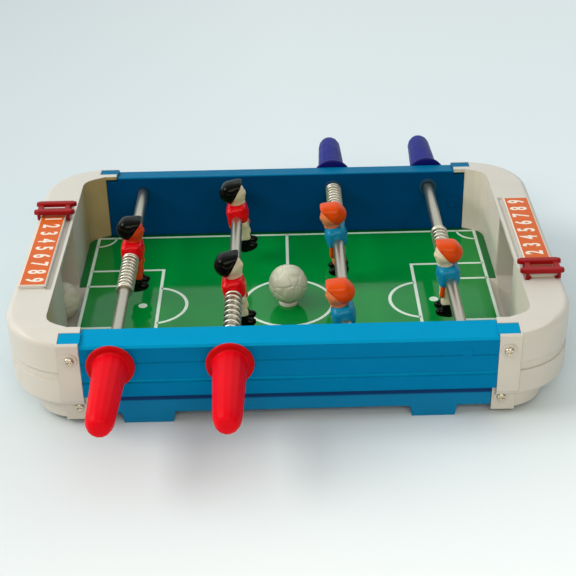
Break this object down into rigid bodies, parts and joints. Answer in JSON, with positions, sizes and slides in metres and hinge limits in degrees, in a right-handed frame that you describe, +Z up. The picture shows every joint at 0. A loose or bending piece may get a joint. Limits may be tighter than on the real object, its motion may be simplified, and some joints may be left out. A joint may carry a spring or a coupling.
{
  "type": "tabletop foosball game",
  "caption": "Small tabletop foosball game: open plastic box with a green pitch, sprung telescopic rods with player figures, goals and sliding score keepers.",
  "frame": {"origin": "on the ground under the kick-off spot at the middle of the pitch", "axes": "+X from the red goal to the blue goal, +Y from the side of the red handles to the side of the blue handles, +Z up"},
  "size_m": [0.3208, 0.3457, 0.0701],
  "materials": {
    "blue_shell": "satin moulded plastic, bright blue",
    "dark_blue_shell": "moulded plastic, darker blue",
    "ivory_shell": "satin moulded plastic, ivory white",
    "orange_label": "printed film label, orange with white digits",
    "dark_red_plastic": "moulded plastic, dark red",
    "screw_steel": "plated steel",
    "green_board": "glossy printed board, green with pale lines",
    "ball_plastic": "moulded plastic, off-white",
    "black_bush": "acetal bearing ring, dark blue",
    "chrome_rod": "polished chrome plate",
    "spring_steel": "bright spring wire",
    "red_grip": "moulded plastic, red",
    "blue_grip": "moulded plastic, indigo",
    "red_player": "painted plastic figure, red shirt",
    "blue_player": "painted plastic figure, blue shirt"
  },
  "bodies": {
    "table": {"front_wall": "blue_shell", "rear_wall": "blue_shell", "front_base_rail": "dark_blue_shell", "rear_base_rail": "dark_blue_shell", "left_end_cap": "ivory_shell", "right_end_cap": "ivory_shell", "left_score_strip": "ivory_shell", "right_score_strip": "ivory_shell", "left_score_label": "orange_label", "right_score_label": "orange_label", "corner_screws": "screw_steel", "pitch_board": "green_board", "kickoff_ring": "ivory_shell", "red_keeper_bush": "black_bush", "red_forward_bush": "black_bush", "red_forward_spring": "spring_steel", "blue_keeper_bush": "black_bush", "blue_forward_bush": "black_bush", "blue_forward_spring": "spring_steel"},
    "match_ball": {"match_ball": "ball_plastic"},
    "spare_ball": {"spare_ball": "ball_plastic"},
    "red_keeper_guide": {"red_keeper_guide_rod": "chrome_rod"},
    "red_keeper_rod": {"red_keeper_rod": "chrome_rod", "red_keeper_handle": "red_grip", "red_keeper": "red_player", "red_keeper_spring": "spring_steel"},
    "red_forward_guide": {"red_forward_guide_rod": "chrome_rod"},
    "red_forward_rod": {"red_forward_rod": "chrome_rod", "red_forward_handle": "red_grip", "red_forward_near": "red_player", "red_forward_far": "red_player"},
    "blue_keeper_guide": {"blue_keeper_guide_rod": "chrome_rod"},
    "blue_keeper_rod": {"blue_keeper_rod": "chrome_rod", "blue_keeper_handle": "blue_grip", "blue_keeper": "blue_player", "blue_keeper_spring": "spring_steel"},
    "blue_forward_guide": {"blue_forward_guide_rod": "chrome_rod"},
    "blue_forward_rod": {"blue_forward_rod": "chrome_rod", "blue_forward_handle": "blue_grip", "blue_forward_near": "blue_player", "blue_forward_far": "blue_player"},
    "left_score_slider": {"left_score_slider": "dark_red_plastic"},
    "right_score_slider": {"right_score_slider": "dark_red_plastic"}
  },
  "joints": [
    {"name": "red_keeper_spin", "type": "hinge", "parent": "table", "child": "red_keeper_guide", "pos_m": [-0.0975, 0, 0.0447], "axis": [0, 1, 0], "continuous": true},
    {"name": "red_keeper_slide", "type": "slide", "parent": "red_keeper_guide", "child": "red_keeper_rod", "axis": [0, -1, 0], "range_m": [-0.0043, 0.05]},
    {"name": "red_forward_spin", "type": "hinge", "parent": "table", "child": "red_forward_guide", "pos_m": [-0.0325, 0, 0.0447], "axis": [0, 1, 0], "continuous": true},
    {"name": "red_forward_slide", "type": "slide", "parent": "red_forward_guide", "child": "red_forward_rod", "axis": [0, -1, 0], "range_m": [-0.0043, 0.033], "stiffness_N_per_m": 40, "deforming": ["red_forward_spring"]},
    {"name": "blue_keeper_spin", "type": "hinge", "parent": "table", "child": "blue_keeper_guide", "pos_m": [0.0975, 0, 0.0447], "axis": [0, 1, 0], "continuous": true},
    {"name": "blue_keeper_slide", "type": "slide", "parent": "blue_keeper_guide", "child": "blue_keeper_rod", "axis": [0, 1, 0], "range_m": [0, 0.05]},
    {"name": "blue_forward_spin", "type": "hinge", "parent": "table", "child": "blue_forward_guide", "pos_m": [0.0325, 0, 0.0447], "axis": [0, 1, 0], "continuous": true},
    {"name": "blue_forward_slide", "type": "slide", "parent": "blue_forward_guide", "child": "blue_forward_rod", "axis": [0, 1, 0], "range_m": [0, 0.033], "stiffness_N_per_m": 40, "deforming": ["blue_forward_spring"]},
    {"name": "left_score_slide", "type": "slide", "parent": "table", "child": "left_score_slider", "axis": [0, -1, 0], "range_m": [-0.004, 0.084]},
    {"name": "right_score_slide", "type": "slide", "parent": "table", "child": "right_score_slider", "axis": [0, 1, 0], "range_m": [0, 0.092]},
    {"name": "match_ball_lift", "type": "slide", "parent": "table", "child": "match_ball", "axis": [0, 0, 1], "range_m": [0, 0.05]},
    {"name": "spare_ball_lift", "type": "slide", "parent": "table", "child": "spare_ball", "axis": [0.6428, 0, 0.766], "range_m": [0, 0.04]}
  ]
}
